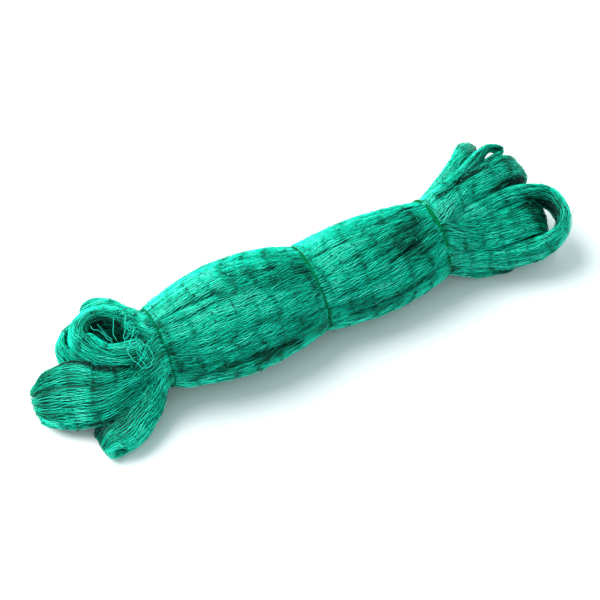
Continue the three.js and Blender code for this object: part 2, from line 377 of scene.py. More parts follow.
# %% Threads
KNOT_ROW = 17 * MM
SHADE_MIDDLE, SHADE_SPREAD = 0.67, 0.09  # of a thread that lies level with the rest
FLECK_SHADE, CLUMP_SHADE, WASH_SHADE = 0.28, 0.28, 0.14  # how much each size of patch changes it
# Beside a row of knots the netting is darkened with painted shade.
KNOT_SHADE = 0.5  # how much darker the netting is beside a row of knots
# A proud thread gets painted light, and a thread sunk in a crease or fold gets painted shade.
RELIEF_PAINTED_SHADE = 0.11  # how much lighter a thread is for each millimetre that it stands out
# The under layer is darkened by painted shade, for bars that lie below others.
OVER = {"pitch": 0.8 * MM, "radius": 0.23 * MM, "depth": 0.0, "painted_depth_shade": 0.0, "stray": 1.2 * MM}
UNDER = {"pitch": 1.15 * MM, "radius": 0.3 * MM, "depth": 0.65 * MM, "painted_depth_shade": 0.2, "stray": 0.0}


def tubes(centres, normals, radius):
    """Triangular tubes along rows of centres: three corners round each centre, joined to the next."""
    ahead = unit(np.gradient(centres, axis=1))
    side = unit(np.cross(ahead, normals))
    normal = np.cross(side, ahead)
    turns = 2 * np.pi * np.arange(3) / 3
    ring = [normal * np.cos(t) + side * np.sin(t) for t in turns]
    places = centres[:, :, None] + np.stack(ring, axis=2) * radius
    threads, rings = centres.shape[:2]
    index = np.arange(threads * rings * 3).reshape(threads, rings, 3)
    here, ahead = index[:, :-1], index[:, 1:]
    around = [here, np.roll(here, -1, 2), np.roll(ahead, -1, 2), ahead]
    walls = np.stack(around, axis=-1).reshape(-1, 4)
    ends = np.concatenate([index[:, 0, ::-1], index[:, -1]])
    return places.reshape(-1, 3), walls, ends


def knots_at(centres, radius):
    """A small octahedron at each centre."""
    corners = np.array([[1, 0, 0], [-1, 0, 0], [0, 1, 0], [0, -1, 0], [0, 0, 1], [0, 0, -1]], float)
    faces = np.array(
        [[0, 2, 4], [2, 1, 4], [1, 3, 4], [3, 0, 4], [2, 0, 5], [1, 2, 5], [3, 1, 5], [0, 3, 5]]
    )
    places = centres[:, None] + corners * radius[:, None, None]
    index = faces[None] + 6 * np.arange(len(centres))[:, None, None]
    return places.reshape(-1, 3), index.reshape(-1, 3)


class Cloth:
    """Collects vertices, faces and shades for one piece, then makes its mesh."""

    def __init__(self):
        self.places, self.shades, self.faces, self.slots, self.uvs = [], [], [], [], []
        self.count = 0

    def add(self, places, faces, shades, slot, uv=None):
        self.places.append(places)
        self.shades.append(np.broadcast_to(shades, len(places)))
        self.uvs.append(np.zeros((len(places), 2)) if uv is None else uv)
        for group in faces:
            self.faces.append(group + self.count)
            self.slots.append(np.full(len(group), slot))
        self.count += len(places)

    def piece(self, name, finishes):
        places = np.concatenate(self.places)
        corners = np.concatenate([group.ravel() for group in self.faces])
        sides = np.concatenate([np.full(len(group), group.shape[1]) for group in self.faces])
        mesh = bpy.data.meshes.new(name)
        mesh.vertices.add(len(places))
        mesh.vertices.foreach_set("co", places.ravel())
        mesh.loops.add(len(corners))
        mesh.loops.foreach_set("vertex_index", corners)
        mesh.polygons.add(len(sides))
        mesh.polygons.foreach_set("loop_start", np.append(0, np.cumsum(sides)[:-1]))
        mesh.polygons.foreach_set("material_index", np.concatenate(self.slots))
        mesh.polygons.foreach_set("use_smooth", np.ones(len(sides), bool))
        mesh.update(calc_edges=True)
        mesh.attributes.new("shade", "FLOAT", "POINT").data.foreach_set(
            "value", np.concatenate(self.shades).astype(np.float32)
        )
        layer = mesh.uv_layers.new(name="along")
        layer.data.foreach_set("uv", np.concatenate(self.uvs)[corners].ravel())
        for finish in finishes:
            mesh.materials.append(finish)
        thing = bpy.data.objects.new(name, mesh)
        bpy.context.scene.collection.objects.link(thing)
        triangles = int((sides - 2).sum())
        print(f"{name}: {triangles} triangles")
        return thing


def light_and_shade_spots(light_and_shade, share, angle):
    """The sum of soft spots of painted light and painted shade, each with its own reach along and round the
    bundle.
    """
    out = np.zeros_like(angle)
    for place, degrees, amount, reach, spread in light_and_shade:
        away = np.degrees((angle - np.radians(degrees) + np.pi) % (2 * np.pi) - np.pi)
        out = out + amount * np.exp(-(((share - place) / reach) ** 2) - (away / spread) ** 2)
    return out


def lay_threads(cloth, bundle, relief, seed, span=(0, 2 * np.pi), layer=OVER, light_and_shade=(), twist=0.0):
    """Threads over a span of angles: evenly placed, swinging by knot rows, wandering together with their
    neighbours a little, and given painted light and shade by how proud they lie."""
    rng = np.random.default_rng(seed)
    pitch = layer["pitch"]
    whole = abs(span[1] - span[0]) / (2 * np.pi)
    count = int(bundle.perimeter(80) * whole / pitch)
    start = span[0] + (np.arange(count) + rng.uniform(0.1, 0.9, count)) * (span[1] - span[0]) / count
    along = bundle.along
    rows = along / KNOT_ROW
    parity = np.pi * np.arange(count)[:, None]
    reach = bundle.perimeter() / (2 * np.pi)
    angle = start[:, None] + twist * (along / along[-1] - 0.5)
    phase = noise(angle * reach / (14 * MM), rows * 0.35, seed + 2) * 1.3 + rng.normal(0, 0.2, (count, 1))
    swing = np.cos(np.pi * rows + parity + phase) * pitch * 1.1
    drift = noise(angle * reach / (6 * MM), along / (22 * MM), seed + 3) * 1.3 * MM
    crimp = noise(angle * reach / (0.8 * MM), along / (3.6 * MM), seed + 4) * 0.38 * MM
    own = rng.normal(0, 0.12 * MM, count)[:, None]
    lift = noise(angle * reach / (0.8 * MM), along / (4.5 * MM), seed + 5) * 0.28 * MM
    loose = noise(np.arange(count)[:, None] * 0.93, along / (11 * MM), seed + 8)
    loose = ease((loose - 0.6) / 0.4) * layer["stray"]
    folds = relief(angle)
    out = folds - layer["depth"] + own + lift + loose
    places, normals = bundle.points(angle, out, swing + drift + crimp)
    clumps = noise(angle * reach / (1.9 * MM), along / (13 * MM), seed + 6)
    patches = ease(0.4 + noise(angle * reach / (9 * MM), along / (14 * MM), seed + 9))
    # Painted shade along the knot rows, in patches.
    knot_row_shade = np.abs(np.cos(np.pi * (rows + phase / np.pi))) ** 14 * patches
    flecks = noise(np.arange(count)[:, None] * 0.97, along / (6 * MM), seed + 10)
    washes = noise(angle * reach / (11 * MM), along / (26 * MM), seed + 11)
    shade = SHADE_MIDDLE + rng.normal(0, SHADE_SPREAD, count)[:, None]
    shade = shade + FLECK_SHADE * flecks + CLUMP_SHADE * clumps + WASH_SHADE * washes
    shade = shade - KNOT_SHADE * knot_row_shade - layer["painted_depth_shade"]
    shade = shade + (folds + own + lift) / MM * RELIEF_PAINTED_SHADE
    shade = shade + light_and_shade_spots(light_and_shade, along / along[-1], angle)
    vertices, walls, ends = tubes(places, normals, layer["radius"])
    cloth.add(vertices, [walls, ends], np.repeat(shade.ravel(), 3), 0)
    add_knots(cloth, places, rows, phase, rng)


def add_knots(cloth, places, rows, phase, rng):
    """A knot wherever a thread's swing peaks on one side: every second row, where it meets a neighbour."""
    count = len(places)
    turns = (rows + phase / np.pi + np.arange(count)[:, None]) % 2
    peak = (turns[:, 1:-1] <= turns[:, 2:]) & (turns[:, 1:-1] < turns[:, :-2])
    knots = places[:, 1:-1][peak]
    size = rng.uniform(0.5, 0.95, len(knots)) * MM
    vertices, faces = knots_at(knots, size)
    # The knots get low shade values: painted shade in the tight knots.
    shade = np.repeat(rng.uniform(0.0, 0.45, len(knots)), 6)
    cloth.add(vertices, [faces], shade, 0)


# The core gets the dark finish: painted shade for the depths of the bundle.
def add_core(cloth, bundle, relief, depth=1.1 * MM, around=72):
    """The same oval, smaller, as one closed skin: a grid of quads with a fan at each end."""
    angle = np.broadcast_to((2 * np.pi * np.arange(around) / around)[:, None], (around, len(bundle.along)))
    out = relief(angle) - depth
    places, _ = bundle.points(angle, out, np.zeros_like(out))
    rings = places.shape[1]
    index = np.arange(around * rings).reshape(around, rings)
    here, ahead = index[:, :-1], index[:, 1:]
    walls = np.stack([here, np.roll(here, -1, 0), np.roll(ahead, -1, 0), ahead], axis=-1).reshape(-1, 4)
    tips = places[:, [0, -1]].mean(axis=0)
    first = around * rings
    turn = np.arange(around)
    nose = np.stack([np.full(around, first), index[(turn + 1) % around, 0], index[turn, 0]], axis=1)
    tail = np.stack([np.full(around, first + 1), index[turn, -1], index[(turn + 1) % around, -1]], axis=1)
    reach = bundle.perimeter() / (2 * np.pi)
    ahead_of_start = np.broadcast_to(bundle.along, angle.shape)
    uv = np.stack([angle * reach / (0.9 * MM), ahead_of_start / (9 * MM)], axis=-1)
    uv = np.concatenate([uv.reshape(-1, 2), np.zeros((2, 2))])
    cloth.add(np.concatenate([places.reshape(-1, 3), tips]), [walls, nose, tail], 0.3, 1, uv)


# %% [markdown]
# ## The bellies
#
# Between two ties the netting swells into a belly. Its oval grows from one tie's to the other's, plus a
# swell that rises steeply beside each band, as pinched netting does, and it settles flat underneath.
# The netting was twisted a little as it was folded, so the threads climb round the belly as they go.

# %% Bellies
BELLIES = {
    "left": {"ends": ("left", "middle"), "swell": (13.3 * MM, 7.8 * MM), "twist": -12, "seed": 11},
    "right": {"ends": ("middle", "right"), "swell": (7.5 * MM, 4.3 * MM), "twist": -22, "seed": 31},
}
SWELL_POWER = 0.8
SETTLE = 2.2 * MM
# Creases: places along them as (share of the belly, degrees), then depth and width in millimetres.
# Half of the places were worked out by another program, as the routes of the bights were.
CREASES = {
    "left": [
        ([(0, 84), (0.1, 86), (0.2, 87), (0.29, 87), (0.38, 88), (0.45, 92), (0.52, 94)], 3.6, 1.6),
        ([(0.08, 100), (0.18, 102), (0.24, 101), (0.32, 99), (0.42, 98), (0.52, 94)], 2.8, 1.3),
        ([(0.46, 84), (0.53, 78), (0.63, 80), (0.73, 81), (0.88, 86)], 2.6, 1.5),
        ([(0.48, 94), (0.61, 89), (0.71, 86), (0.85, 84)], 1.6, 1.3),
        ([(0.08, 181), (0.21, 174), (0.34, 170), (0.49, 168), (0.63, 170), (0.8, 171)], 6.0, 2.6),
        ([(0.1, 151), (0.4, 150), (0.7, 145)], 1.4, 1.4),
        ([(0.1, 200), (0.9, 205)], 3.0, 2.0),
        ([(0.1, 20), (0.9, 12)], 3.0, 2.0),
        ([(0.1, 320), (0.9, 330)], 3.0, 2.0),
    ],
    "right": [
        ([(0, 83), (0.07, 83), (0.17, 84), (0.29, 82), (0.42, 80)], 3.0, 1.5),
        ([(0.1, 110), (0.16, 108), (0.27, 105), (0.38, 102), (0.49, 100), (0.6, 98)], 2.6, 1.4),
        ([(0.02, 143), (0.15, 140), (0.28, 136), (0.4, 136), (0.53, 132), (0.65, 128)], 3.0, 1.6),
        ([(0.48, 127), (0.7, 118), (0.84, 114), (0.96, 108)], 4.0, 2.0),
        ([(0.42, 115), (0.64, 110), (0.79, 104)], 2.6, 1.5),
        ([(0.58, 98), (0.7, 96), (0.83, 93), (0.97, 93)], 3.0, 1.8),
        ([(0.1, 175), (0.5, 168), (0.9, 165)], 2.4, 1.7),
        ([(0.1, 200), (0.9, 205)], 3.0, 2.0),
        ([(0.1, 15), (0.9, 10)], 3.0, 2.0),
        ([(0.1, 320), (0.9, 330)], 3.0, 2.0),
    ],
}
# Painted light and shade in soft spots: lighter where the light falls, as on the far shoulder, and
# painted shade in the deep folds: share of the belly, degrees, how much, and how far it reaches in share
# and in degrees.
BELLY_LIGHT_AND_SHADE = {
    "left": [
        (0.4, 50, 0.16, 0.6, 26), (0.28, 98, 0.28, 0.2, 22), (0.55, 118, 0.12, 0.16, 16),
        (0.93, 84, -0.3, 0.12, 24), (0.1, 150, -0.1, 0.2, 30), (0.6, 178, -0.25, 0.5, 16),
        (0.45, 90, -0.2, 0.14, 6),
    ],
    "right": [
        (0.05, 60, 0.22, 0.25, 30), (0.14, 104, 0.26, 0.14, 22), (0.4, 92, 0.2, 0.12, 14),
        (0.82, 86, -0.34, 0.15, 22), (0.75, 118, -0.34, 0.16, 14), (0.55, 150, 0.1, 0.3, 14),
        (0.5, 178, -0.2, 0.5, 18),
    ],
}


def belly_bundle(ends, swell):
    """Ovals between two ties. The swell is the sine of the share of the way, to a power below one."""
    first, last = (TIES[side] for side in ends)
    length = last["at"][0] - first["at"][0]
    share = np.linspace(0, 1, int(length / RING_STEP) + 1)
    grown = np.sin(np.pi * share) ** SWELL_POWER
    wide = first["wide"] + (last["wide"] - first["wide"]) * share + swell[0] * grown
    high = first["high"] + (last["high"] - first["high"]) * share + swell[1] * grown
    lifts = [tie["at"][2] - tie["high"] for tie in (first, last)]
    lift = (lifts[0] + (lifts[1] - lifts[0]) * share) * (1 - grown) - SETTLE * grown
    centre = first["at"] + (last["at"] - first["at"]) * share[:, None]
    centre[:, 2] = lift + high
    u = np.tile([0.0, 1.0, 0.0], (len(share), 1))
    v = np.tile([0.0, 0.0, 1.0], (len(share), 1))
    return Bundle(centre, u, v, wide, high, share * length)


HALVES = {"top": (0.0, np.pi), "low": (np.pi, 2 * np.pi)}


def make_belly(side, ends, swell, twist, seed):
    bundle = belly_bundle(ends, swell)
    relief = Relief(bundle, seed, creases=CREASES[side])
    pieces = {}
    for half, span in HALVES.items():
        cloth = Cloth()
        lay_threads(cloth, bundle, relief, seed + 7, span, OVER, BELLY_LIGHT_AND_SHADE[side], np.radians(twist))
        lay_threads(cloth, bundle, relief, seed + 17, span, UNDER, BELLY_LIGHT_AND_SHADE[side], np.radians(twist))
        pieces[half] = cloth.piece(f"{side}_belly_{half}", [TWINE])
    core = Cloth()
    add_core(core, bundle, relief, around=180)
    pieces["core"] = core.piece(f"{side}_belly_core", [TWINE, SHADED_CORE])
    return pieces


bellies = {side: make_belly(side, **belly) for side, belly in BELLIES.items()}

# %% [markdown]
# ## Sharing out the tie
#
# The bights come out of an end tie packed together, so inside the band their sections fill the whole
# oval, like slices. Each leg of a bight gets the part of the oval that is nearest to it. A few rounds
# of moving each leg to the middle of its part evens them out. Away from the tie each section eases
# from that slice to the bight's own oval, and the bights part of themselves.

# %% Sharing the tie
ROUNDS = 4
PARTING = 30 * MM  # how far a bight takes to get its own shape
LEAD = 4 * MM  # before that it runs straight out of the tie
PULLED_IN = 0.72


def share_the_tie(tie, starts):
    """Leg centres in the tie's plane, as y and z from its centre, after rounds of evening out."""
    size = np.array([tie["wide"], tie["high"]])
    centres = (np.array(starts) - tie["at"])[:, 1:] * PULLED_IN
    grid = np.stack(np.meshgrid(np.linspace(-1, 1, 61), np.linspace(-1, 1, 61)), axis=-1).reshape(-1, 2)
    inside = grid[(grid**2).sum(axis=1) < 1] * size
    for _ in range(ROUNDS):
        nearest = ((inside[:, None] - centres) ** 2).sum(axis=2).argmin(axis=1)
        taken = np.eye(len(centres))[nearest]
        centres = (taken.T @ inside) / np.maximum(taken.sum(axis=0), 1)[:, None]
    return centres


def slice_reach(tie, centres, own, heading):
    """How far the slice of one leg reaches in each heading: to the nearest line halfway to another
    leg, or to the oval itself."""
    way = np.stack([np.cos(heading), np.sin(heading)], axis=-1)
    here = centres[own]
    size = np.array([tie["wide"], tie["high"]])
    a = ((way / size) ** 2).sum(axis=-1)
    b = (way * here / size**2).sum(axis=-1)
    c = ((here / size) ** 2).sum() - 1
    reach = (-b + np.sqrt(b * b - a * c)) / a
    for other in np.delete(centres, own, axis=0):
        gap = other - here
        facing = way @ gap
        halfway = (gap @ gap) / 2 / np.maximum(facing, 1e-9)
        reach = np.where(facing > 1e-9, np.minimum(reach, halfway), reach)
    return reach


# %% [markdown]
# ## The bights
#
# A bight is a bundle that leaves the tie, turns, and comes back. Its route is a list of points in
# millimetres from the foot, each with the half thickness along the turn's axis and across it. Some turn
# over and under, and some turn in the flat. The fan and the tail are folds pressed flat, so they are
# wide and thin. The plan positions, x and y, were worked out by another program and are only repeated
# here. A better lesson would build each route from a few dimensions, such as its reach and its turn.

# %% Routes of the bights
ACROSS, SKEWED, UPRIGHT = (0.0, 1.0, 0.0), (0.4, 0.9, 0.0), (0.0, -0.2, 1.0)
RIGHT_BIGHTS = {
    "right_open_bight": (UPRIGHT, [
        (140, 4, 36, 12, 8.5), (169, 6, 38, 12.5, 8), (192, 2, 38, 13, 6.5),
        (205, -8, 37, 13, 5.4), (207, -22, 35, 13, 4.6), (202, -34, 33, 12.5, 5),
        (189, -41, 30, 12.5, 6.5), (169, -40, 26, 12, 8), (143, -32, 23, 11, 8),
    ]),
    "right_round_bight": (ACROSS, [
        (134, 18, 48, 12, 8.5), (162, 21, 50, 13, 8.5), (186, 26, 47, 13.5, 7),
        (195, 27, 36, 13, 6), (183, 24, 27, 12.5, 7), (156, 21, 22, 12, 9),
    ]),
    "right_inner_bight": (SKEWED, [
        (136, -15, 38, 14.5, 7), (161, -18, 38, 15.5, 7), (182, -18, 36, 15.5, 6.5),
        (191, -18, 28, 15.5, 6), (183, -20, 19, 14, 6.5), (164, -18, 13, 14, 6.5),
        (136, -11, 13, 12, 6.5),
    ]),
    "right_back_bight": (ACROSS, [
        (136, 36, 43, 9, 9), (157, 50, 43, 9, 9), (172, 63, 33, 10.5, 8.5), (168, 64, 19, 10, 8),
        (146, 50, 15, 10, 8),
    ]),
    "right_thin_bight": (UPRIGHT, [
        (138, 30, 47, 8.5, 8), (163, 44, 45, 6.5, 5.5), (183, 54, 42, 5, 3),
        (192, 53, 40, 4.5, 2.3), (194, 50, 37, 5.5, 2.3), (183, 48, 36, 6.5, 3.4),
        (162, 41, 34, 7.5, 4.5), (138, 28, 29, 9, 8),
    ]),
    "right_low_bight": (ACROSS, [
        (131, -21, 19, 12.5, 6), (147, -26, 15, 12.5, 5.5), (156, -28, 10, 10.5, 4.5),
        (152, -25, 6, 10.5, 4.5), (137, -22, 6, 10.5, 4.5),
    ]),
}
TILTED = (0.1, 0.85, 0.5)
LEFT_BIGHTS = {
    "left_fan_bight": (TILTED, [
        (-145, -12, 29, 15, 6.5), (-163, -15, 28, 17, 6.5), (-182, -13, 26, 22.5, 6.5),
        (-197, -4, 24, 25, 6), (-210, 2, 21, 22, 5.5), (-217, 6, 17.5, 18, 5),
        (-222, 11, 11.5, 10.5, 4.5), (-217, 12, 6, 16, 5), (-207, 5, 6, 19.5, 5),
        (-186, -4, 6, 19, 5), (-160, -8, 9, 15, 5),
    ]),
    "left_tail_bight": (ACROSS, [
        (-144, -27, 20, 13, 7), (-159, -34, 17, 15.5, 6.5), (-172, -39, 14, 17, 6),
        (-184, -41, 12, 15.5, 5.5), (-190, -45, 8, 10, 4.5), (-182, -43, 5.5, 12, 5),
        (-162, -37, 6, 12, 5),
    ]),
    "left_curl_bight": (UPRIGHT, [
        (-137, 23, 46, 9, 9), (-149, 34, 47, 8.5, 6), (-161, 39, 46, 10, 6.5),
        (-171, 38, 40, 15, 8), (-176, 31, 35, 17, 9.5), (-172, 20, 33, 16, 10.5),
        (-162, 9, 32, 14, 10), (-146, 3, 34, 12, 11.5),
    ]),
    "left_outer_bight": (UPRIGHT, [
        (-146, 37, 36, 8, 6), (-166, 46, 30, 12.5, 5), (-181, 45, 25, 16.5, 4.6),
        (-190, 38, 23.5, 16, 5), (-189, 29, 22, 15, 6.4), (-182, 17, 20, 10, 5),
        (-164, 6, 17, 8, 5), (-144, -1, 16, 7, 5),
    ]),
    "left_back_bight": (ACROSS, [
        (-139, 31, 43, 9, 8), (-152, 42, 44, 10.5, 8), (-161, 50, 34, 11, 7.5),
        (-156, 44, 22, 13, 8), (-141, 36, 15, 11, 8),
    ]),
}
# Painted light and painted shade in soft spots, such as the shade inside a fold and under the curl:
# share of the bight, degrees round it, how much, and the reach of each.
BIGHT_LIGHT_AND_SHADE = {
    "right_round_bight": [
        (0.44, 185, -1.0, 0.11, 36), (0.2, 45, -0.9, 0.15, 22), (0.2, 100, 0.18, 0.15, 40),
        (0.04, 100, 0.5, 0.1, 80),
    ],
    "right_open_bight": [(0.46, 90, -1.0, 0.14, 45), (0.06, 30, 0.5, 0.12, 100)],
    "right_inner_bight": [(0.2, 120, 0.12, 0.12, 60), (0.46, 60, -0.6, 0.06, 60)],
    "right_back_bight": [(0.12, 90, 0.25, 0.15, 90)],
    "right_thin_bight": [(0.7, 270, -0.5, 0.2, 40), (0.05, 0, 0.3, 0.12, 80)],
    "right_low_bight": [(0.42, 180, -0.5, 0.12, 50)],
    "left_fan_bight": [
        (0.37, 270, 0.3, 0.05, 80), (0.49, 270, -0.22, 0.03, 90), (0.1, 250, -0.3, 0.08, 60),
        (0.15, 325, -1.3, 0.07, 22), (0.25, 340, -1.2, 0.07, 15), (0.34, 352, -1.1, 0.06, 11),
        (0.41, 0, -0.9, 0.04, 9), (0.3, 200, -0.3, 0.1, 25),
    ],
    "left_tail_bight": [(0.38, 335, -0.9, 0.12, 45), (0.5, 0, -0.3, 0.1, 60), (0.22, 250, -0.2, 0.2, 60)],
    "left_curl_bight": [
        (0.35, 270, -0.8, 0.3, 50), (0.75, 130, -0.9, 0.25, 32), (0.93, 45, -0.8, 0.08, 50),
        (0.3, 30, 0.1, 0.1, 50),
    ],
    "left_outer_bight": [(0.4, 270, -0.7, 0.25, 50)],
}

# %% Bights
class Bight(Bundle):
    """A bundle whose two ends ease into their slices of the tie."""

    def __init__(self, tie, centres, legs, axis, route):
        route = np.array(route, float) * MM + [*FOOT, 0, 0]
        lead = np.sign(route[0, 0] - tie["at"][0]) * LEAD
        feet = [[*tie["at"][:1], *(tie["at"][1:] + centres[leg]), *route[end][3:]]
                for end, leg in zip((0, -1), legs)]
        ahead = [lead, 0, 0, 0, 0]
        route = np.vstack([feet[0], np.add(feet[0], ahead), route, np.add(feet[1], ahead), feet[1]])
        rows, along = smooth_path(route, RING_STEP)
        ahead = unit(np.gradient(rows[:, :3], axis=0))
        v = unit(np.cross(ahead, axis))
        super().__init__(rows[:, :3], np.cross(v, ahead), v, rows[:, 3], rows[:, 4], along)
        self.slices = [self.slice_table(tie, centres, leg, end) for end, leg in zip((0, -1), legs)]

    def slice_table(self, tie, centres, leg, end):
        """The slice's offsets round the section: each angle looks the way its oval offset does."""
        angle = np.linspace(0, 2 * np.pi, 181)
        u, v = self.u[end], self.v[end]
        offset = self.wide[end] * np.cos(angle)[:, None] * u + self.high[end] * np.sin(angle)[:, None] * v
        heading = np.arctan2(offset[:, 2], offset[:, 1])
        reach = slice_reach(tie, centres, leg, heading)
        flat = np.stack([np.zeros_like(reach), np.cos(heading) * reach, np.sin(heading) * reach], axis=1)
        return angle, flat

    def section(self, angle):
        out = super().section(angle)
        for (table, flat), run in zip(self.slices, (self.along, self.along[-1] - self.along)):
            own = ease((run - LEAD) / PARTING)[:, None]
            turned = angle % (2 * np.pi)
            sliced = np.stack([np.interp(turned, table, column) for column in flat.T], axis=-1)
            out = out * own + sliced * (1 - own)
        return out


BIGHT_CREASES = 4


def make_bights(tie_name, bights, seed):
    tie = TIES[tie_name]
    starts = [np.array(route[end][:3]) * MM + FOOT for _, route in bights.values() for end in (0, -1)]
    centres = share_the_tie(tie, starts)
    pieces = {}
    for number, (name, (axis, route)) in enumerate(bights.items()):
        bundle = Bight(tie, centres, (2 * number, 2 * number + 1), axis, route)
        folds = np.random.default_rng(seed + 40 * number).uniform(-1, 1, (BIGHT_CREASES, 3))
        creases = [([(0.02, 180 * a), (0.98, 180 * a + 40 * b)], 1.7 + 0.7 * c, 1.4) for a, b, c in folds]
        relief = Relief(bundle, seed + 40 * number, lump=0.8 * MM, creases=creases)
        cloth = Cloth()
        light_and_shade = BIGHT_LIGHT_AND_SHADE.get(name, ())
        lay_threads(cloth, bundle, relief, seed + 40 * number + 7, light_and_shade=light_and_shade)
        lay_threads(cloth, bundle, relief, seed + 40 * number + 17, layer=UNDER, light_and_shade=light_and_shade)
        add_core(cloth, bundle, relief)
        pieces[name] = cloth.piece(f"{name}_netting", [TWINE, SHADED_CORE])
    return pieces


left_bights = make_bights("left", LEFT_BIGHTS, 1000)
right_bights = make_bights("right", RIGHT_BIGHTS, 2000)

# %% [markdown]
# ## The bands
#
# Each band is a thin elastic loop, wound twice, so two turns lie side by side and cross once. A turn is
# a path round the tie's oval that shifts along the hank as it goes.

# %% Bands
BAND_RADII = {"left": 0.42 * MM, "middle": 0.62 * MM, "right": 0.85 * MM}  # each is sunk a little


def band_finish():
    finish = Finish("elastic_band", specular_ior_level=0.2, specular_tint=GLOSS_TINT, ior=1.15)
    where = finish.add("ShaderNodeTexCoord", output="Object")
    grain = finish.add("ShaderNodeTexNoise", inputs={"Vector": where, "Scale": 900.0, "Detail": 3.0})
    stops = [(0.3, (0, 76, 40)), (0.7, (0, 120, 68))]
    colour = finish.add("ShaderNodeValToRGB", {"stops": stops}, {"Fac": grain})
    relief = finish.add("ShaderNodeBump", inputs={"Height": grain, "Strength": 0.4, "Distance": 0.0002})
    finish.drive(base_color=colour, roughness=grain * 0.3 + 0.35, normal=relief)
    return finish.material


ELASTIC = band_finish()


BAND_SPREADS = {"left": 0.25 * MM, "middle": 0.7 * MM, "right": 0.9 * MM}


def make_band(side, spread):
    """Two turns round the oval: out at half width + radius, and shifting along X by the sine of the
    turn, so that they cross at the back."""
    tie, radius = TIES[side], BAND_RADII[side]
    turns, sides = 240, 10
    t = np.linspace(0, 4 * np.pi, 2 * turns, endpoint=False)
    out = radius * 0.5 + 0.25 * MM * np.sin(t / 2 + 0.7)
    shift = spread * np.cos(t / 2)
    path = np.stack([shift, (tie["wide"] + out) * np.cos(t), (tie["high"] + out) * np.sin(t)], axis=1)
    path = path + tie["at"]
    normal = unit(np.stack([0 * t, np.cos(t) / tie["wide"], np.sin(t) / tie["high"]], axis=1))
    ahead = unit(np.roll(path, -1, axis=0) - np.roll(path, 1, axis=0))
    side_way = np.cross(ahead, normal)
    turn = 2 * np.pi * np.arange(sides) / sides
    ring = normal[:, None] * np.cos(turn)[:, None] + side_way[:, None] * np.sin(turn)[:, None]
    places = (path[:, None] + ring * radius).reshape(-1, 3)
    index = np.arange(len(t) * sides).reshape(len(t), sides)
    here, after = index, np.roll(index, -1, axis=0)
    walls = np.stack([here, np.roll(here, -1, 1), np.roll(after, -1, 1), after], axis=-1).reshape(-1, 4)
    cloth = Cloth()
    cloth.add(places, [walls], 0.5, 0)
    return cloth.piece(f"{side}_elastic", [ELASTIC])


bands = {side: make_band(side, spread) for side, spread in BAND_SPREADS.items()}

# %% [markdown]
# ## Loose threads
#
# Cut ends and slack bars stand away from the hank: a tangle beside the left tie, the fringe of open
# mesh on the fan's far corner, and a few stray hairs. A strand is a smooth path through a few points
# with some curl added: slow noise along it, in each direction. It is counted in millimetres from the
# foot, and most of its places were worked out as those of the bights were.

# %% Loose threads
STRAND_STEP = 1.1 * MM
TANGLE = [(-135, 30, 53), (-138, 14, 55), (-143, -2, 55), (-146, -20, 52)]
TANGLE_LOOPS = [
    [(-141, 10, 57), (-150, -3, 57), (-153, -12, 56), (-151, -20, 55), (-146, -25, 54), (-141, -23, 54),
     (-137, -17, 56), (-139, -10, 58), (-142, -2, 58)],
    [(-138, 25, 56), (-137, 30, 58), (-134, 33, 60), (-131, 31, 60), (-132, 27, 59), (-136, 23, 57)],
    [(-137, 19, 57), (-138, 27, 59), (-138, 31, 59), (-134, 33, 58), (-132, 29, 57), (-135, 20, 56)],
    [(-140, 27, 54), (-145, 16, 56), (-150, 7, 55), (-155, -1, 53)],
    [(-151, 27, 54), (-154, 19, 51), (-155, 11, 47)],
    [(-163, 28, 52), (-160, 23, 49), (-157, 13, 47)],
    [(-168, 30, 50), (-162, 21, 48), (-158, 12, 46)],
    [(-138, 31, 54), (-138, 35, 57), (-138, 40, 58)],
]
FRINGE = [(-218, 18, 18), (-213, 21, 23), (-207, 19, 27), (-201, 18, 29), (-194, 21, 30)]
HAIRS = [
    [(193, 51, 42), (198, 49, 47), (203, 50, 50), (209, 54, 52)],
    [(180, 56, 45), (187, 55, 49), (196, 53, 50)],
    [(195, -3, 47), (200, -1, 52), (203, 2, 54)],
    [(204, -37, 40), (210, -33, 44), (215, -29, 47)],
]
BELLY_HAIRS = [
    [(64, 26, 56), (72, 23, 65), (79, 21, 67), (87, 20, 60)],
    [(68, 26, 56), (76, 23, 65), (84, 22, 65)],
    [(2, -24, 9), (4, -30, 10), (10, -28, 12)],
]


def add_strand(cloth, points, seed, curl=0.0, radius=0.15 * MM, shade=0.8):
    path, along = smooth_path(np.array(points, float) * MM + FOOT, STRAND_STEP)
    drift = [noise(np.array(axis * 9.3), along / (3.2 * MM), seed) for axis in range(3)]
    path = path + curl * np.stack(drift, axis=1)
    ahead = unit(np.gradient(path, axis=0))
    normal = unit(np.cross(ahead, [0.36, 0.48, 0.8]))
    vertices, walls, ends = tubes(path[None], normal[None], radius)
    cloth.add(vertices, [walls, ends], shade, 0)


def strands_along(cloth, line, count, reach, curl, seed):
    """Strands that each join a few random places near a line, so that they loop about it."""
    rng = np.random.default_rng(seed)
    spine, _ = smooth_path(np.array(line, float), 0.5)
    for number in range(count):
        middle = rng.uniform(0.0, 0.85)
        places = np.clip(middle + rng.uniform(-0.2, 0.2, 6), 0, 1) * (len(spine) - 1)
        points = spine[places.astype(int)] + rng.normal(0, 1, (6, 3)) * reach
        add_strand(cloth, points, seed + number, curl, shade=rng.uniform(0.5, 0.95))


